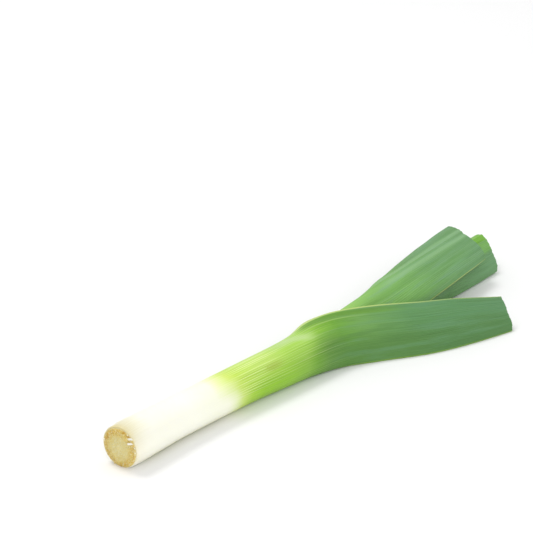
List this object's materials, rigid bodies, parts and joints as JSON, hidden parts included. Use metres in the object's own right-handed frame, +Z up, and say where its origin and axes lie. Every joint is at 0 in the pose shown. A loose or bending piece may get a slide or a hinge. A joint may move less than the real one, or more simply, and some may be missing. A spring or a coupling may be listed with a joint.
{
  "type": "leek",
  "caption": "Trimmed leek lying flat: white shaft with cut roots at one end, green folded leaves that fan out and end in straight cuts at the other.",
  "frame": {"origin": "on the flat spot under the white shaft, 60 mm from its root end", "axes": "+X from the root end towards the cut leaf ends, +Z up from the surface that the leek lies on"},
  "size_m": [0.4831, 0.1295, 0.0375],
  "materials": {
    "outer_leaf": "smooth waxy skin, cream white at the root end and blue green at the leaf end",
    "root_plate": "rough fibrous cut surface",
    "second_leaf": "waxy leaf skin with fine parallel veins",
    "third_leaf": "waxy leaf skin with fine parallel veins",
    "heart_leaf": "smooth bright leaf skin"
  },
  "bodies": {
    "root": {"outer_leaf": "outer_leaf", "root_plate": "root_plate", "second_leaf": "second_leaf", "third_leaf": "third_leaf", "heart_leaf": "heart_leaf"}
  },
  "joints": []
}
